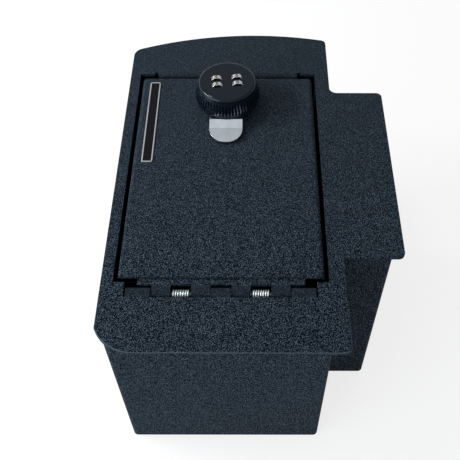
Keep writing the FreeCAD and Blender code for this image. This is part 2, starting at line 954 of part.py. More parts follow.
def cut_screw_holes(body, low):
    """Four holes right through the body for the screws' shanks."""
    sketch = new_sketch(body, "XY_Plane", low)
    for x, y in screw_places():
        circle(sketch, x, y, size("knob_screw_diameter") / 2)
    pocket(body, sketch)


def dial_places():
    """Column and row offsets of the four dials, by name."""
    column = size("dial_column_spacing") / 2
    row = size("dial_row_spacing") / 2
    return {
        "dial_front_left": (-column, -row),
        "dial_front_right": (column, -row),
        "dial_rear_left": (-column, row),
        "dial_rear_right": (column, row),
    }


def cut_dial_rooms(body):
    """Round rooms for the dials and the bores for their axles."""
    column = size("dial_column_spacing") / 2
    clearance = size("dial_clearance")
    room = size("dial_diameter") / 2 + clearance
    width = size("dial_thickness") + clearance * 2
    for row in (-size("dial_row_spacing") / 2, size("dial_row_spacing") / 2):
        sketch = new_sketch(body, "XZ_Plane", width / 2 - row)
        circle(sketch, -column, axle_z, room)
        circle(sketch, column, axle_z, room)
        pocket(body, sketch, width, along_normal=False)
    sketch = new_sketch(body, "XZ_Plane", size("axle_length") / 2)
    circle(sketch, -column, axle_z, size("axle_diameter") / 2)
    circle(sketch, column, axle_z, size("axle_diameter") / 2)
    pocket(body, sketch, size("axle_length"), along_normal=False)


def knob_side():
    """Bottom, and radius at the split level, of the cone above the straight part of the side."""
    face = size("knob_face_diameter") / 2
    shoulder = size("knob_shoulder_diameter") / 2
    cone_low = skirt_low + size("knurl_height") + size("knurl_bevel")
    slope = (shoulder - face) / (knob_top - cone_low)
    return cone_low, face + slope * (knob_top - axle_z)


def knurl_section(body, radius, level):
    """A V-shaped groove's outline at a level where the knob's side has the given radius."""
    sketch = new_sketch(body, "XY_Plane", level)
    outside = radius + size("knurl_depth")
    width = size("knurl_groove_width")
    outline(sketch, [(radius - size("knurl_depth"), ZERO), (outside, -width), (outside, width)])
    return sketch


def make_knob_body():
    body = lock_body("knob_body", size("knob_turn"))
    cone_low, split_radius = knob_side()
    knurl = size("knurl_diameter") / 2
    skirt = size("housing_flange_diameter") / 2 + size("skirt_side_clearance")
    revolve(body, [
        (ZERO, knob_ceiling),
        (skirt, knob_ceiling),
        (skirt, skirt_low),
        (knurl, skirt_low),
        (knurl, skirt_low + size("knurl_height")),
        (size("knob_shoulder_diameter") / 2, cone_low),
        (split_radius, axle_z),
        (ZERO, axle_z),
    ])
    sketch = knurl_section(body, knurl, skirt_low + size("knurl_foot"))
    groove = body.newObject("PartDesign::SubtractiveLoft", "Loft_knurl")
    groove.Profile = sketch
    groove.Sections = [knurl_section(body, split_radius, axle_z)]
    groove.Ruled = True
    body.Tip = groove
    pattern = body.newObject("PartDesign::PolarPattern", "Pattern_knurl")
    pattern.Originals = [groove]
    pattern.Axis = (sketch, ["N_Axis"])
    pattern.Angle = FULL_TURN
    pattern.setExpression("Occurrences", size("knurl_count").text)
    body.Tip = pattern
    cut_dial_rooms(body)
    cut_screw_holes(body, skirt_low)
    half_length = size("detent_length") / 2 + size("mounting_clearance")
    half_width = size("dial_thickness") / 2
    sketch = new_sketch(body, "XY_Plane", detent_low())
    for x, y in dial_places().values():
        rectangle(sketch, x - half_length, x + half_length, y - half_width, y + half_width)
    pocket(body, sketch, size("dial_diameter") / 2)
    return body


def make_knob_cap():
    body = lock_body("knob_cap", size("knob_turn"))
    face = size("knob_face_diameter") / 2
    split_radius = knob_side()[1]
    revolve(body, [(ZERO, axle_z), (split_radius, axle_z), (face, knob_top), (ZERO, knob_top)])
    round_edges(body, level_at(knob_top), size("knob_face_round"))
    cut_dial_rooms(body)
    sketch = new_sketch(body, "XY_Plane", axle_z)
    for x, y in screw_places():
        circle(sketch, x, y, size("knob_screw_diameter") / 2)
    pocket(body, sketch, size("dial_axle_depth") - size("knob_screw_cover"))
    return body


def make_knob_screws():
    seat = spindle_seat + size("knob_screw_head_height") + size("mounting_clearance")
    end = knob_top - size("knob_screw_cover")
    head_radius = size("knob_screw_head_diameter") / 2
    head_height = size("knob_screw_head_height")
    shank_radius = size("knob_screw_diameter") / 2
    screws = []
    for x, y in screw_places():
        head = cylinder("knob_screw_head", head_radius, head_height, x, y, seat - head_height)
        shank = cylinder("knob_screw_shank", shank_radius, end - seat, x, y, seat)
        screw = doc.addObject("Part::Fuse", "Fuse_knob_screw")
        screw.Base = head
        screw.Tool = shank
        screws.append(screw)
    return group("knob_screws", screws, lock_x, lock_y, plate_top, size("knob_turn"))


def make_dial_axles():
    axles = []
    for side in (-1, 1):
        axle = doc.addObject("Part::Cylinder", "Cylinder_dial_axle")
        axle.setExpression("Radius", (size("axle_diameter") / 2).text)
        axle.setExpression("Height", size("axle_length").text)
        axle.Placement.Rotation = FreeCAD.Rotation(Vector(1, 0, 0), 90)
        axle.setExpression("Placement.Base.x", (size("dial_column_spacing") / 2 * side).text)
        axle.setExpression("Placement.Base.y", (size("axle_length") / 2).text)
        axle.setExpression("Placement.Base.z", axle_z.text)
        axles.append(axle)
    return group("dial_axles", axles, lock_x, lock_y, plate_top, size("knob_turn"))


def detent_low():
    """Underside of the leaves that click against the dials."""
    return axle_z - size("dial_diameter") / 2 - size("dial_clearance") - size("detent_thickness")


def make_detent_leaves():
    leaves = []
    for name, (x, y) in dial_places().items():
        leaf = doc.addObject("Part::Box", "Box_detent_" + name)
        leaf.setExpression("Length", size("detent_length").text)
        leaf.setExpression("Width", (size("dial_thickness") - size("mounting_clearance") * 2).text)
        leaf.setExpression("Height", size("detent_thickness").text)
        south = y - size("dial_thickness") / 2 + size("mounting_clearance")
        place(leaf, x - size("detent_length") / 2, south, detent_low())
        leaves.append(leaf)
    return group("detent_leaves", leaves, lock_x, lock_y, plate_top, size("knob_turn"))


def make_dial(label, across, along):
    """A ten-sided dial on its axle, with one flat facing up."""
    turn = size("knob_turn")
    x = lock_x + cosine(turn) * across - sine(turn) * along
    y = lock_y + sine(turn) * across + cosine(turn) * along
    body = new_body(label, x, y, plate_top + axle_z, turn)
    sketch = new_sketch(body, "XZ_Plane", -size("dial_thickness") / 2)
    faces = int(sheet.get("dial_faces"))
    angles = [math.pi / 2 + math.tau * (step + 0.5) / faces for step in range(faces)]
    radius = size("dial_diameter") / 2
    outline(sketch, [(radius * math.cos(angle), radius * math.sin(angle)) for angle in angles])
    circle(sketch, ZERO, ZERO, size("axle_diameter") / 2 + size("running_clearance"))
    pad(body, sketch, size("dial_thickness"))
    return body


def make_spindle():
    body = lock_body("spindle", size("knob_turn"))
    flange = size("spindle_flange_diameter") / 2
    groove = spindle_radius - size("clip_groove_depth")
    groove_top = barrel_low - size("clip_end_gap")
    groove_low = groove_top - size("clip_thickness")
    thread = size("cam_screw_diameter") / 2
    thread_top = cam_low + size("cam_screw_grip")
    revolve(body, [
        (ZERO, thread_top),
        (thread, thread_top),
        (thread, cam_low),
        (spindle_radius, cam_low),
        (spindle_radius, groove_low),
        (groove, groove_low),
        (groove, groove_top),
        (spindle_radius, groove_top),
        (spindle_radius, spindle_seat),
        (flange, spindle_seat),
        (flange, knob_ceiling),
        (ZERO, knob_ceiling),
    ])
    half = size("drive_square") / 2
    sketch = new_sketch(body, "XY_Plane", cam_low)
    circle(sketch, ZERO, ZERO, size("spindle_diameter"))
    rectangle(sketch, -half, half, -half, half)
    pocket(body, sketch, size("cam_thickness"))
    sketch = new_sketch(body, "XY_Plane", spindle_seat)
    for x, y in screw_places():
        circle(sketch, x, y, size("knob_screw_head_diameter") / 2 + size("mounting_clearance"))
    pocket(body, sketch, size("knob_screw_head_height") + size("mounting_clearance"))
    cut_screw_holes(body, spindle_seat)
    return body


def make_spindle_clip():
    thick = size("clip_thickness")
    low = barrel_low - size("clip_end_gap") - thick
    hole = spindle_radius - size("clip_groove_depth")
    body = make_ring("spindle_clip", hole, size("clip_diameter") / 2, low, thick, size("knob_turn"))
    half = size("clip_mouth") / 2
    sketch = new_sketch(body, "XY_Plane", low)
    rectangle(sketch, -half, half, -size("clip_diameter"), ZERO)
    pocket(body, sketch)
    return body


def make_latch_cam():
    body = lock_body("latch_cam", size("knob_turn"))
    half = size("cam_width") / 2
    heel = -size("cam_heel")
    tip = size("cam_length")
    corners = [(heel, -half), (tip, -half), (tip, half), (heel, half)]
    sketch = new_sketch(body, "XY_Plane", cam_low)
    outline(sketch, corners)
    pad(body, sketch, size("cam_thickness"))
    round_edges(body, upright_at(*corners), size("cam_corner_radius"))
    square = size("drive_square") / 2
    sketch = new_sketch(body, "XY_Plane", cam_low)
    rectangle(sketch, -square, square, -square, square)
    pocket(body, sketch)
    return body


def make_cam_screw():
    body = lock_body("cam_screw", size("knob_turn"))
    head_low = cam_washer_low - size("cam_screw_head_height")
    sketch = new_sketch(body, "XY_Plane", head_low)
    hexagon(sketch, size("cam_screw_head_width"))
    pad(body, sketch, size("cam_screw_head_height"))
    sketch = new_sketch(body, "XY_Plane", head_low)
    circle(sketch, ZERO, ZERO, size("cam_screw_diameter") / 2)
    shank = size("cam_washer_thickness") + size("cam_screw_grip") - size("mounting_clearance")
    pad(body, sketch, size("cam_screw_head_height") + shank)
    return body


def make_all():
    """Every sub-part of the safe."""
    pieces = [
        make_top_plate(),
        make_tub_floor(),
        make_tub_wrap(),
        make_pocket_wrap(),
        make_hinge_pin(),
        make_lid_skin(),
        make_hinge_leaf(),
        make_badge_plate(),
        make_badge_inlay(),
        make_ring("lock_spacer", barrel_hole, size("spacer_diameter") / 2, lid_top, size("spacer_height")),
        make_pull_tab(),
        make_lock_housing(),
        make_ring("lock_washer", barrel_hole, size("lock_washer_diameter") / 2, nut_top,
                  size("lock_washer_thickness")),
        make_lock_nut(),
        make_knob_body(),
        make_knob_cap(),
        make_knob_screws(),
        make_dial_axles(),
        make_detent_leaves(),
        make_spindle(),
        make_spindle_clip(),
        make_latch_cam(),
        make_ring("cam_washer", size("cam_screw_diameter") / 2, size("cam_washer_diameter") / 2,
                  cam_washer_low, size("cam_washer_thickness"), size("knob_turn")),
        make_cam_screw(),
    ]
    pieces += [make_hinge_spring(label, bay_middle(bay)) for label, bay in SPRING_BAYS.items()]
    pieces += [make_dial(label, across, along) for label, (across, along) in dial_places().items()]
    return pieces


sub_parts = make_all()
doc.recompute()

# Every object has to be sound before anything is written
for thing in doc.Objects:
    if "Invalid" in thing.State or "Error" in thing.State:
        raise ValueError("%s failed: %s" % (thing.Label, thing.State))
for piece in sub_parts:
    if piece.Shape.isNull() or not piece.Shape.isValid():
        raise ValueError("%s has no valid shape" % piece.Label)

os.makedirs("parts", exist_ok=True)
for piece in sub_parts:
    piece.Shape.exportStep("parts/%s.step" % piece.Label)
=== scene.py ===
import json
import math
import bpy
from mathutils import Matrix, Vector


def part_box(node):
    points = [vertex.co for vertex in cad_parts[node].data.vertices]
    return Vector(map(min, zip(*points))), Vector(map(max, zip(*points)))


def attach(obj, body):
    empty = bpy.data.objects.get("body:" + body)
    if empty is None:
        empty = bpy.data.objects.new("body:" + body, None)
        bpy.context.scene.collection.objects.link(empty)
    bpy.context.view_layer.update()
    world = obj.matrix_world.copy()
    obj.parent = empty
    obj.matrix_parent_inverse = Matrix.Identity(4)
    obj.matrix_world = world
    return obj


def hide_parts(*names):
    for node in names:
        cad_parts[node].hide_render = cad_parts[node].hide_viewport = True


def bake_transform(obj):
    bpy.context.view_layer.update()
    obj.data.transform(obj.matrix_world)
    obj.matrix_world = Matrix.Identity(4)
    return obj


# A console safe in textured black powder coat, with a smooth black combination knob, a polished
# pull tab and bright hinge springs, on a white floor. All sizes are in metres.

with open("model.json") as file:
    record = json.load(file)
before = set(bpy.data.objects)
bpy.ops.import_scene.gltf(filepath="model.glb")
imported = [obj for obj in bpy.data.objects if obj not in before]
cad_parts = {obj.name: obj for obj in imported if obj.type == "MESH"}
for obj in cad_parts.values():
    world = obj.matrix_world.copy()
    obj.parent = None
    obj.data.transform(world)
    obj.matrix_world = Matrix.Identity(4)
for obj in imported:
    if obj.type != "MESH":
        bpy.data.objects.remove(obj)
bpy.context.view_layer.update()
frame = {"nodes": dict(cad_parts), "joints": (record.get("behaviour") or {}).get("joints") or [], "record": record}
cad = frame["nodes"]
joints = {joint["name"]: joint for joint in frame["joints"]}
hinge = Vector(joints["lid_hinge"]["pos_m"])
MILLIMETRE = 0.001
WHITE = (1.0, 1.0, 1.0, 1.0)

# Camera: where it stands over the base's middle, where it looks, and its framing

CAMERA_PLACE = (-0.0019, -0.3673, 0.6002)
CAMERA_PITCH = math.radians(53.48)
CAMERA_YAW = math.radians(0.21)
CAMERA_ROLL = math.radians(0.28)
CAMERA_LENS = 56.36
CAMERA_SENSOR = 36.0
CAMERA_SHIFT = -0.052


def make_camera():
    """The camera of the photo, looking down on the lid from in front."""
    ahead = Vector((
        math.sin(CAMERA_YAW) * math.cos(CAMERA_PITCH),
        math.cos(CAMERA_YAW) * math.cos(CAMERA_PITCH),
        -math.sin(CAMERA_PITCH),
    ))
    level = Vector((math.cos(CAMERA_YAW), -math.sin(CAMERA_YAW), 0.0))
    upright = level.cross(ahead)
    right = level * math.cos(CAMERA_ROLL) + upright * math.sin(CAMERA_ROLL)
    up = upright * math.cos(CAMERA_ROLL) - level * math.sin(CAMERA_ROLL)
    data = bpy.data.cameras.new("camera")
    data.sensor_width = CAMERA_SENSOR
    data.lens = CAMERA_LENS
    data.shift_x = CAMERA_SHIFT
    camera = bpy.data.objects.new("camera", data)
    turn = Matrix((right, up, -ahead)).transposed().to_4x4()
    camera.matrix_world = Matrix.Translation(CAMERA_PLACE) @ turn
    bpy.context.scene.collection.objects.link(camera)
    bpy.context.scene.camera = camera


# Materials: a node tree with short ways to add to it

UNSTRETCHED = (1.0, 1.0, 1.0)
UNTILTED = (0.0, 0.0, 0.0)
BEVEL_SAMPLES = 6
# How far a normal points up where a rounded edge leaves an upright face, and where it meets a level one
UPRIGHT_RISE = (0.1, 0.4)
LEVEL_RISE = (0.85, 0.98)


class Shader:
    """A material's node tree with one principled shader, and short ways to add nodes to it."""

    def __init__(self, name, colour, roughness, metallic=0.0):
        self.material = bpy.data.materials.new(name)
        self.material.use_nodes = True
        self.tree = self.material.node_tree
        self.tree.nodes.clear()
        self.surface = self.add("ShaderNodeBsdfPrincipled")
        output = self.add("ShaderNodeOutputMaterial")
        self.link(self.surface.outputs["BSDF"], output.inputs["Surface"])
        self.set("Base Color", (*colour, 1.0))
        self.set("Roughness", roughness)
        self.set("Metallic", metallic)

    def add(self, kind, **settings):
        """A new node with the given settings."""
        node = self.tree.nodes.new(kind)
        for name, value in settings.items():
            setattr(node, name, value)
        return node

    def link(self, output, socket):
        """Leads an output into a socket."""
        self.tree.links.new(output, socket)

    def set(self, socket, value):
        """Gives a socket of the principled shader one value all over."""
        self.surface.inputs[socket].default_value = value

    def drive(self, output, socket):
        """Leads an output into a socket of the principled shader."""
        self.link(output, self.surface.inputs[socket])

    def place(self, stretch=UNSTRETCHED, tilt=UNTILTED):
        """Positions on the piece, in metres, stretched along its axes and tilted."""
        coordinates = self.add("ShaderNodeTexCoord")
        mapping = self.add("ShaderNodeMapping")
        mapping.inputs["Scale"].default_value = stretch
        mapping.inputs["Rotation"].default_value = tilt
        self.link(coordinates.outputs["Object"], mapping.inputs["Vector"])
        return mapping.outputs["Vector"]

    def noise(self, grain, detail=2.0, roughness=0.5, place=None):
        """Smooth noise whose features are about one grain across."""
        node = self.add("ShaderNodeTexNoise")
        node.inputs["Scale"].default_value = 1.0 / grain
        node.inputs["Detail"].default_value = detail
        node.inputs["Roughness"].default_value = roughness
        self.link(place or self.place(), node.inputs["Vector"])
        return node.outputs["Fac"]

    def cells(self, grain, place):
        """Distance to the nearest of scattered points, about one grain apart."""
        node = self.add("ShaderNodeTexVoronoi")
        node.inputs["Scale"].default_value = 1.0 / grain
        self.link(place, node.inputs["Vector"])
        return node.outputs["Distance"]

    def math(self, operation, first, second=0.0):
        """Arithmetic on outputs and plain numbers."""
        node = self.add("ShaderNodeMath", operation=operation)
        for socket, value in zip(node.inputs, (first, second)):
            if isinstance(value, (int, float)):
                socket.default_value = value
            else:
                self.link(value, socket)
        return node.outputs["Value"]

    def ramp(self, value, *stops):
        """Colours along a value; a stop is (position, (red, green, blue))."""
        node = self.add("ShaderNodeValToRGB")
        elements = node.color_ramp.elements
        for position, _ in stops[len(elements):]:
            elements.new(position)
        for element, (position, colour) in zip(elements, stops):
            element.position = position
            element.color = (*colour, 1.0)
        self.link(value, node.inputs["Fac"])
        return node.outputs["Color"]

    def spread(self, value, low, high, from_low=0.0, from_high=1.0):
        """A value moved from one range to another."""
        node = self.add("ShaderNodeMapRange")
        node.inputs["From Min"].default_value = from_low
        node.inputs["From Max"].default_value = from_high
        node.inputs["To Min"].default_value = low
        node.inputs["To Max"].default_value = high
        self.link(value, node.inputs["Value"])
        return node.outputs["Result"]

    def along(self, output, axis):
        """One coordinate of the piece's own position or normal."""
        coordinates = self.add("ShaderNodeTexCoord")
        split = self.add("ShaderNodeSeparateXYZ")
        self.link(coordinates.outputs[output], split.inputs["Vector"])
        return split.outputs[axis]

    def front_edges(self, line, blur):
        """1 on the rounded upper edges in front of a line across the piece, 0 elsewhere."""
        rise = self.along("Normal", "Z")
        off_level = self.spread(rise, 1.0, 0.0, *LEVEL_RISE)
        off_upright = self.spread(rise, 0.0, 1.0, *UPRIGHT_RISE)
        ahead = self.spread(self.along("Object", "Y"), 1.0, 0.0, line - blur, line)
        return self.math("MULTIPLY", self.math("MULTIPLY", off_level, off_upright), ahead)

    def band(self, axis, middle, reach):
        """1 within a reach of a place on one axis of the piece, 0 further off."""
        distance = self.math("ABSOLUTE", self.math("SUBTRACT", self.along("Object", axis), middle))
        return self.math("LESS_THAN", distance, reach)

    def mix(self, share, first, colour):
        """The first colour, going over to a plain one where the share is 1."""
        node = self.add("ShaderNodeMix", data_type="RGBA")
        self.link(share, node.inputs["Factor"])
        self.link(first, node.inputs["A"])
        node.inputs["B"].default_value = (*colour, 1.0)
        return node.outputs["Result"]

    def bump(self, height, depth, strength, edge=0.0):
        """Raises the surface by a height of 0 to 1 times depth, with edges eased by a small radius."""
        node = self.add("ShaderNodeBump")
        node.inputs["Strength"].default_value = strength
        node.inputs["Distance"].default_value = depth
        self.link(height, node.inputs["Height"])
        if edge:
            bevel = self.add("ShaderNodeBevel", samples=BEVEL_SAMPLES)
            bevel.inputs["Radius"].default_value = edge
            self.link(bevel.outputs["Normal"], node.inputs["Normal"])
        self.drive(node.outputs["Normal"], "Normal")


# Powder coat: the form of its skin, tilted so that no level face cuts the noise at one phase
COAT_GRAIN = 0.74 * MILLIMETRE
COAT_DEPTH = 0.28 * MILLIMETRE
COAT_STRENGTH = 0.8
COAT_EDGE = 0.5 * MILLIMETRE
COAT_TILT = (0.61, 0.47, 0.33)
CRUMB_GRAIN = 0.8 * COAT_GRAIN
CLOUD_GRAIN = 40 * COAT_GRAIN
PEBBLE_SHARE = 0.45

# Its colour from pits to crests, and its roughness over a range of heights; the pale blue of the crests is partly
# the coat's own speckle and partly painted glints
COAT_BASE = (0.012, 0.018, 0.026)
COAT_COLOURS = (
    (0.20, (0.0034, 0.0060, 0.0098)),
    (0.32, (0.0088, 0.0142, 0.0222)),
    (0.47, (0.1250, 0.1660, 0.2100)),
)
COAT_ROUGHNESS = (0.55, 0.24)
ROUGHNESS_HEIGHTS = (0.15, 0.45)
CLOUD_ROUGHNESS = 0.04
COAT_SHINE = 0.004
COAT_TINT = (0.70, 0.86, 1.0, 1.0)

# Where it differs: calmer towards the back, so that the painted glints show mostly at the front; paler along the
# rounded front edges as a painted highlight; plainer and darker on the hinge's rolls
COAT_CALM = (0.0215, 0.0300, 0.0395)
CALM_SHARE = 0.6
CALM_REACH = (-0.10, 0.12)
# A painted highlight on the rounded front edges: its colour, and where it ends in front of the hinge
COAT_PAINTED_HIGHLIGHT = (0.060, 0.082, 0.104)
HIGHLIGHT_MARGIN = 6 * MILLIMETRE
HIGHLIGHT_BLUR = 10 * MILLIMETRE
COAT_ROLLED = (0.0130, 0.0190, 0.0255)
ROLLED_SHARE = 0.55
HINGE_REACH = 4.6 * MILLIMETRE
HINGE_LENGTH = 129.2 * MILLIMETRE


def powder_coat():
    """Black powder coat: a pebbled skin with pale blue crests that are partly painted glints, calmer towards the
    back, with a painted highlight on its front edges and plainer on the hinge's rolls.
    """
    shader = Shader("powder_coat", COAT_BASE, roughness=0.5)
    place = shader.place(tilt=COAT_TILT)
    pebbles = shader.cells(COAT_GRAIN, place)
    crumbs = shader.noise(CRUMB_GRAIN, detail=3.0, roughness=0.6, place=place)
    clouds = shader.noise(CLOUD_GRAIN, place=place)
    height = shader.math("SUBTRACT", crumbs, shader.math("MULTIPLY", pebbles, PEBBLE_SHARE))
    colour = shader.ramp(height, *COAT_COLOURS)
    # Painted glints fade towards the back: there the speckle goes part way over to a plain colour
    calm = shader.spread(shader.along("Object", "Y"), 0.0, CALM_SHARE, *CALM_REACH)
    colour = shader.mix(calm, colour, COAT_CALM)
    # The rounded upper edges in front of the hinge are painted paler, as a painted highlight
    painted_highlight = shader.front_edges(hinge.y - HIGHLIGHT_MARGIN, HIGHLIGHT_BLUR)
    colour = shader.mix(painted_highlight, colour, COAT_PAINTED_HIGHLIGHT)
    near_axis = shader.band("Y", hinge.y, HINGE_REACH)
    on_length = shader.band("X", hinge.x, HINGE_LENGTH / 2)
    rolled = shader.math("MULTIPLY", shader.math("MULTIPLY", near_axis, on_length), ROLLED_SHARE)
    shader.drive(shader.mix(rolled, colour, COAT_ROLLED), "Base Color")
    roughness = shader.spread(height, *COAT_ROUGHNESS, *ROUGHNESS_HEIGHTS)
    swing = shader.spread(clouds, -CLOUD_ROUGHNESS, CLOUD_ROUGHNESS)
    shader.drive(shader.math("ADD", roughness, swing), "Roughness")
    shader.set("Specular IOR Level", COAT_SHINE)
    shader.set("Specular Tint", COAT_TINT)
    shader.bump(height, COAT_DEPTH, COAT_STRENGTH, COAT_EDGE)
    return shader.material


# The other finishes
FAINT = 0.5
KNOB_BLACK = (0.0034, 0.0060, 0.0112)
KNOB_TINT = (0.72, 0.87, 1.0, 1.0)
LOCK_BLACK = (0.006, 0.008, 0.010)
BADGE_BLACK = (0.003, 0.004, 0.006)
BRUSHED_ALONG = (1.0, 0.08, 1.0)
DIAL_NICKEL = (0.80, 0.80, 0.77)
DIAL_BLACK = (0.004, 0.004, 0.005)
# How far a dial's normal points along its axle where the nickel ends and where the black begins
NICKEL_END = 0.5
BLACK_START = 0.7


def knob_black():
    """Smooth satin black enamel with faint handling marks."""
    shader = Shader("knob_black", KNOB_BLACK, roughness=0.18)
    smudges = shader.noise(grain=6 * MILLIMETRE, detail=3.0)
    shader.drive(shader.spread(smudges, low=0.07, high=0.13), "Roughness")
    shader.set("Specular IOR Level", 0.34)
    shader.set("Specular Tint", KNOB_TINT)
    skin = shader.noise(grain=0.25 * MILLIMETRE)
    shader.bump(skin, depth=0.004 * MILLIMETRE, strength=FAINT, edge=0.25 * MILLIMETRE)
    return shader.material


def lock_black():
    """Satin black with a fine grain, also for the numerals and as painted shade on the springs' legs."""
    shader = Shader("lock_black", LOCK_BLACK, roughness=0.45)
    skin = shader.noise(grain=0.4 * MILLIMETRE)
    shader.bump(skin, depth=0.01 * MILLIMETRE, strength=FAINT, edge=0.2 * MILLIMETRE)
    return shader.material


def badge_field():
    """Black enamel with faint brush marks along the badge."""
    shader = Shader("badge_field", BADGE_BLACK, roughness=0.3)
    place = shader.place(BRUSHED_ALONG)
    strokes = shader.noise(grain=0.5 * MILLIMETRE, detail=3.0, roughness=0.6, place=place)
    shader.drive(shader.spread(strokes, low=0.2, high=0.42), "Roughness")
    shader.set("Specular IOR Level", 0.12)
    shader.bump(strokes, depth=0.006 * MILLIMETRE, strength=FAINT)
    return shader.material


def dial_metal():
    """Nickel round the rim, with black sides square to the axle."""
    shader = Shader("dial_metal", DIAL_NICKEL, roughness=0.26, metallic=1.0)
    coordinates = shader.add("ShaderNodeTexCoord")
    turned = shader.add("ShaderNodeVectorMath", operation="DOT_PRODUCT")
    turned.inputs[1].default_value = joints["dial_front_left_spin"]["axis"]
    shader.link(coordinates.outputs["Normal"], turned.inputs[0])
    sideways = shader.math("ABSOLUTE", turned.outputs["Value"])
    colour = shader.ramp(sideways, (NICKEL_END, DIAL_NICKEL), (BLACK_START, DIAL_BLACK))
    shader.drive(colour, "Base Color")
    shader.drive(shader.spread(sideways, 1.0, 0.0, NICKEL_END, BLACK_START), "Metallic")
    wear = shader.noise(grain=0.5 * MILLIMETRE)
    shader.drive(shader.spread(wear, low=0.2, high=0.34), "Roughness")
    skin = shader.noise(grain=0.3 * MILLIMETRE)
    shader.bump(skin, depth=0.003 * MILLIMETRE, strength=FAINT, edge=0.12 * MILLIMETRE)
    return shader.material


# Bare metals, each with its colour, its roughness, the way it was drawn and the depth of its scratches
DRAWN_ACROSS = (0.12, 1.0, 1.0)
DRAWN_ALONG = (1.0, 0.12, 1.0)
METALS = {
    "badge_rim": ((0.80, 0.79, 0.80), 0.30, DRAWN_ALONG, 0.004 * MILLIMETRE),
    "pin_steel": ((0.14, 0.14, 0.15), 0.35, DRAWN_ACROSS, 0.004 * MILLIMETRE),
    "spring_wire": ((0.86, 0.95, 1.00), 0.42, UNSTRETCHED, 0.003 * MILLIMETRE),
    "polished_steel": ((0.70, 0.77, 0.84), 0.16, DRAWN_ALONG, 0.004 * MILLIMETRE),
    "zinc_steel": ((0.55, 0.56, 0.58), 0.34, UNSTRETCHED, 0.006 * MILLIMETRE),
    "spring_steel": ((0.42, 0.44, 0.47), 0.30, DRAWN_ACROSS, 0.003 * MILLIMETRE),
}
METAL_EDGE = 0.15 * MILLIMETRE
SCRATCH_GRAIN = 0.5 * MILLIMETRE
SCRATCH_ROUGHNESS = (0.75, 1.3)
TARNISH_GRAIN = 9 * MILLIMETRE
TARNISH_SHARE = 0.86
TARNISH_REACH = (0.3, 0.7)


def metal(name, colour, roughness, stretch, scratch_depth):
    """Bare metal with fine drawn scratches and a slight tarnish."""
    shader = Shader(name, colour, roughness, metallic=1.0)
    scratches = shader.noise(SCRATCH_GRAIN, detail=4.0, roughness=0.6, place=shader.place(stretch))
    tarnish = shader.noise(TARNISH_GRAIN, detail=3.0)
    tarnished = tuple(TARNISH_SHARE * channel for channel in colour)
    shader.drive(shader.ramp(tarnish, *zip(TARNISH_REACH, (tarnished, colour))), "Base Color")
    low, high = (roughness * share for share in SCRATCH_ROUGHNESS)
    shader.drive(shader.spread(scratches, low, high), "Roughness")
    shader.bump(scratches, scratch_depth, FAINT, METAL_EDGE)
    return shader.material


def make_materials():
    """The finish of each material slot of the record."""
    return {
        "powder_coat": powder_coat(),
        "knob_black": knob_black(),
        "lock_black": lock_black(),
        "badge_field": badge_field(),
        "dial_metal": dial_metal(),
        **{name: metal(name, *finish) for name, finish in METALS.items()},
    }


def dress(piece, material):
    """Gives a piece one material."""
    piece.data.materials.clear()
    piece.data.materials.append(material)


def dress_cad(materials):
    """Gives every CAD node the finish of its slot."""
    for part in frame["record"]["subparts"]:
        dress(cad[part["node"]], materials[part["material_slot"]])


# Hinge springs, bright on the coil and black a little way out on the legs, where the black is painted shade

WIRE = 1.0 * MILLIMETRE
COIL_RADIUS = 3.2 * MILLIMETRE
COIL_PITCH = 1.65 * MILLIMETRE
COIL_TURNS = 7
LEG_RISE = math.radians(25.0)
LEG_LENGTH = 8.6 * MILLIMETRE
LEG_CLEAR = 0.56 * MILLIMETRE
POINTS_PER_TURN = 32
LEG_POINTS = 6
WIRE_SIDES = 6


def spring_points(middle):
    """Points along the wire: one leg forward under the plate, the coil, one leg back under the lid."""
    begin = -math.pi / 2 - LEG_RISE
    sweep = math.tau * COIL_TURNS + 2 * LEG_RISE
    count = round(POINTS_PER_TURN * sweep / math.tau)
    length = COIL_PITCH * sweep / math.tau
    points = []
    for step in range(count + 1):
        share = step / count
        angle = begin + sweep * share
        points.append(Vector((
            middle + length * (0.5 - share),
            hinge.y + COIL_RADIUS * math.cos(angle),
            hinge.z + COIL_RADIUS * math.sin(angle),
        )))
    forward = Vector((0.0, -math.cos(LEG_RISE), math.sin(LEG_RISE)))
    rearward = Vector((0.0, math.cos(LEG_RISE), math.sin(LEG_RISE)))
    steps = [LEG_LENGTH * number / LEG_POINTS for number in range(1, LEG_POINTS + 1)]
    leg_in = [points[0] + forward * reach for reach in reversed(steps)]
    leg_out = [points[-1] + rearward * reach for reach in steps]
    return leg_in + points + leg_out


def curve_mesh(curve):
    """The mesh of a curve or a text."""
    holder = bpy.data.objects.new(curve.name, curve)
    bpy.context.scene.collection.objects.link(holder)
    mesh = bpy.data.meshes.new_from_object(holder)
    bpy.data.objects.remove(holder)
    return mesh


def tube(name, points, radius):
    """A round wire through the points, as a mesh with closed ends."""
    curve = bpy.data.curves.new(name + "_curve", "CURVE")
    curve.dimensions = "3D"
    curve.bevel_depth = radius
    curve.bevel_resolution = WIRE_SIDES
    curve.use_fill_caps = True
    spline = curve.splines.new("POLY")
    spline.points.add(len(points) - 1)
    for target, point in zip(spline.points, points):
        target.co = (*point, 1.0)
    mesh = curve_mesh(curve)
    mesh.shade_smooth()
    piece = bpy.data.objects.new(name, mesh)
    bpy.context.scene.collection.objects.link(piece)
    return piece


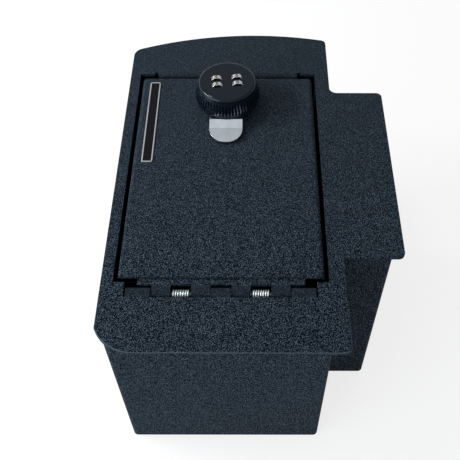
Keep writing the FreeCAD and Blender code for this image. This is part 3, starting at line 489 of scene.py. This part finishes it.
def make_springs(material, leg_shade_material):
    """Both springs, in place of the CAD's own."""
    for node in ("hinge_spring_left", "hinge_spring_right"):
        low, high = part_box(node)
        middle = (low.x + high.x) / 2
        piece = tube(node + "_wire", spring_points(middle), WIRE / 2)
        dress(piece, material)
        piece.data.materials.append(leg_shade_material)
        # Faces a little way out from the coil, on the legs, take the black as painted shade
        for face in piece.data.polygons:
            off_axis = face.center - hinge
            on_leg = math.hypot(off_axis.y, off_axis.z) > COIL_RADIUS + LEG_CLEAR
            face.material_index = int(on_leg)
        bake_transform(piece)
        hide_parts(node)


# Numerals on the dials

NUMERAL_HEIGHT = 2.8 * MILLIMETRE
NUMERAL_RELIEF = 0.03 * MILLIMETRE
NUMERAL_WEIGHT = 0.045 * NUMERAL_HEIGHT
FONT_SIZE = 1.35 * NUMERAL_HEIGHT
DIAL_FACES = 10


def numeral_mesh(digit):
    """One digit, centred on its own origin and lying in the XY plane."""
    curve = bpy.data.curves.new("numeral", "FONT")
    curve.body = str(digit)
    curve.align_x = "CENTER"
    curve.align_y = "CENTER"
    curve.size = FONT_SIZE
    curve.extrude = NUMERAL_RELIEF
    curve.offset = NUMERAL_WEIGHT
    return curve_mesh(curve)


def dial_numerals(name, material):
    """The ten digits round one dial, as one piece that turns with it."""
    joint = joints[name + "_spin"]
    centre = Vector(joint["pos_m"])
    axle = Vector(joint["axis"]).normalized()
    low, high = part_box(name)
    apothem = (high.z - low.z) / 2
    up = Vector((0.0, 0.0, 1.0))
    vertices = []
    faces = []
    for digit in range(DIAL_FACES):
        turn = Matrix.Rotation(math.tau * digit / DIAL_FACES, 3, axle)
        outward = turn @ up
        across = axle.cross(outward)
        stand = Matrix((across, axle, outward)).transposed()
        mesh = numeral_mesh(digit)
        first = len(vertices)
        for vertex in mesh.vertices:
            vertices.append(centre + outward * apothem + stand @ vertex.co)
        faces += [[first + index for index in polygon.vertices] for polygon in mesh.polygons]
        bpy.data.meshes.remove(mesh)
    mesh = bpy.data.meshes.new(name + "_numerals")
    mesh.from_pydata(vertices, [], faces)
    mesh.update()
    piece = bpy.data.objects.new(name + "_numerals", mesh)
    bpy.context.scene.collection.objects.link(piece)
    dress(piece, material)
    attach(piece, name)


def make_numerals(material):
    """The numerals of all four dials."""
    for name in ("dial_front_left", "dial_front_right", "dial_rear_left", "dial_rear_right"):
        dial_numerals(name, material)


# White floor, lamps and surroundings

FLOOR_REACH = 9.0
FLOOR_ROUGHNESS = 0.9
FLOOR_WHITE = 0.95
FLOOR_SHADE = 0.25
FLOOR_GLOW = 0.77
PATCH_MIDDLE = (-0.0246, -0.008)
PATCH_REACH = (0.06, 0.105)
HORIZON_LIGHT = 0.95
MIDWAY = math.sin(math.radians(50.0))
MIDWAY_LIGHT = 0.5
ZENITH_LIGHT = 0.75
LEFT_SHARE = 1.4
RIGHT_SHARE = 0.5
KEY_PLACE = (-0.75, 0.05, 0.68)
KEY_AIM = (0.0, 0.0, 0.19)
KEY_SIZE = (0.34, 0.10)
KEY_POWER = 5.4
GLINT_PLACE = (-0.5, 0.3, 1.15)
GLINT_SIZE = (0.15, 0.15)
GLINT_POWER = 1.6
FILL_PLACE = (-1.0, -0.8, 0.42)
FILL_AIM = (0.0, 0.0, 0.1)
FILL_SIZE = (1.0, 0.8)
FILL_POWER = 10.0
FILL_COLOUR = (0.78, 0.90, 1.0)


def seen_directly(tree):
    """1 for rays that show the floor itself: straight from the camera, in metal or through glass."""
    path = tree.nodes.new("ShaderNodeLightPath")
    total = path.outputs["Is Camera Ray"]
    for name in ("Is Glossy Ray", "Is Transmission Ray"):
        either = tree.nodes.new("ShaderNodeMath")
        either.operation = "MAXIMUM"
        tree.links.new(total, either.inputs[0])
        tree.links.new(path.outputs[name], either.inputs[1])
        total = either.outputs["Value"]
    return total


def rectangle(middle, reach):
    """The four corners of a rectangle on the floor, anticlockwise."""
    signs = ((-1, -1), (1, -1), (1, 1), (-1, 1))
    return [(middle[0] + x * reach[0], middle[1] + y * reach[1], 0.0) for x, y in signs]


def make_floor():
    """A floor that looks white, with a plain patch under the tub that shows through its bolt holes."""
    mesh = bpy.data.meshes.new("floor")
    corners = rectangle((0.0, 0.0), (FLOOR_REACH, FLOOR_REACH)) + rectangle(PATCH_MIDDLE, PATCH_REACH)
    ring = [(0, 1, 5, 4), (1, 2, 6, 5), (2, 3, 7, 6), (3, 0, 4, 7)]
    patch = (4, 5, 6, 7)
    mesh.from_pydata(corners, [], ring + [patch])
    floor = bpy.data.objects.new("floor", mesh)
    bpy.context.scene.collection.objects.link(floor)
    shader = Shader("floor_white", (FLOOR_WHITE,) * 3, FLOOR_ROUGHNESS)
    shader.set("Specular IOR Level", 0.0)
    shader.set("Emission Color", WHITE)
    seen = seen_directly(shader.tree)
    shader.drive(shader.spread(seen, FLOOR_WHITE, FLOOR_SHADE), "Base Color")
    shader.drive(shader.math("MULTIPLY", seen, FLOOR_GLOW), "Emission Strength")
    dress(floor, shader.material)
    plain = Shader("floor_plain", (FLOOR_SHADE,) * 3, FLOOR_ROUGHNESS)
    mesh.materials.append(plain.material)
    mesh.polygons[len(ring)].material_index = 1


def make_world():
    """A pale studio: brightest along the horizon and to the left, dim overhead."""
    world = bpy.data.worlds.new("surroundings")
    world.use_nodes = True
    tree = world.node_tree
    background = tree.nodes["Background"]
    background.inputs["Color"].default_value = WHITE
    direction = tree.nodes.new("ShaderNodeTexCoord")
    split = tree.nodes.new("ShaderNodeSeparateXYZ")
    height = tree.nodes.new("ShaderNodeFloatCurve")
    side = tree.nodes.new("ShaderNodeMapRange")
    product = tree.nodes.new("ShaderNodeMath")
    product.operation = "MULTIPLY"
    curve = height.mapping.curves[0]
    curve.points[0].location = (0.0, HORIZON_LIGHT)
    curve.points[1].location = (1.0, ZENITH_LIGHT)
    curve.points.new(MIDWAY, MIDWAY_LIGHT)
    height.mapping.update()
    side.inputs["From Min"].default_value = -1.0
    side.inputs["To Min"].default_value = LEFT_SHARE
    side.inputs["To Max"].default_value = RIGHT_SHARE
    tree.links.new(direction.outputs["Generated"], split.inputs["Vector"])
    tree.links.new(split.outputs["Z"], height.inputs["Value"])
    tree.links.new(split.outputs["X"], side.inputs["Value"])
    tree.links.new(height.outputs["Value"], product.inputs[0])
    tree.links.new(side.outputs["Result"], product.inputs[1])
    tree.links.new(product.outputs["Value"], background.inputs["Strength"])
    bpy.context.scene.world = world


def make_lamp(name, place, aim, size, power, colour=WHITE[:3]):
    """A rectangular lamp that faces a point."""
    data = bpy.data.lights.new(name, "AREA")
    data.color = colour
    data.shape = "RECTANGLE"
    data.size, data.size_y = size
    data.energy = power
    lamp = bpy.data.objects.new(name, data)
    lamp.location = place
    lamp.rotation_mode = "QUATERNION"
    lamp.rotation_quaternion = (Vector(aim) - Vector(place)).to_track_quat("-Z", "Y")
    bpy.context.scene.collection.objects.link(lamp)


make_camera()
materials = make_materials()
dress_cad(materials)
make_springs(materials["spring_wire"], materials["lock_black"])
make_numerals(materials["lock_black"])
make_floor()
make_world()
make_lamp("key", KEY_PLACE, KEY_AIM, KEY_SIZE, KEY_POWER)
make_lamp("glint", GLINT_PLACE, KEY_AIM, GLINT_SIZE, GLINT_POWER)
make_lamp("fill", FILL_PLACE, FILL_AIM, FILL_SIZE, FILL_POWER, FILL_COLOUR)
bpy.context.scene.view_settings.view_transform = "Standard"

bpy.context.view_layer.update()
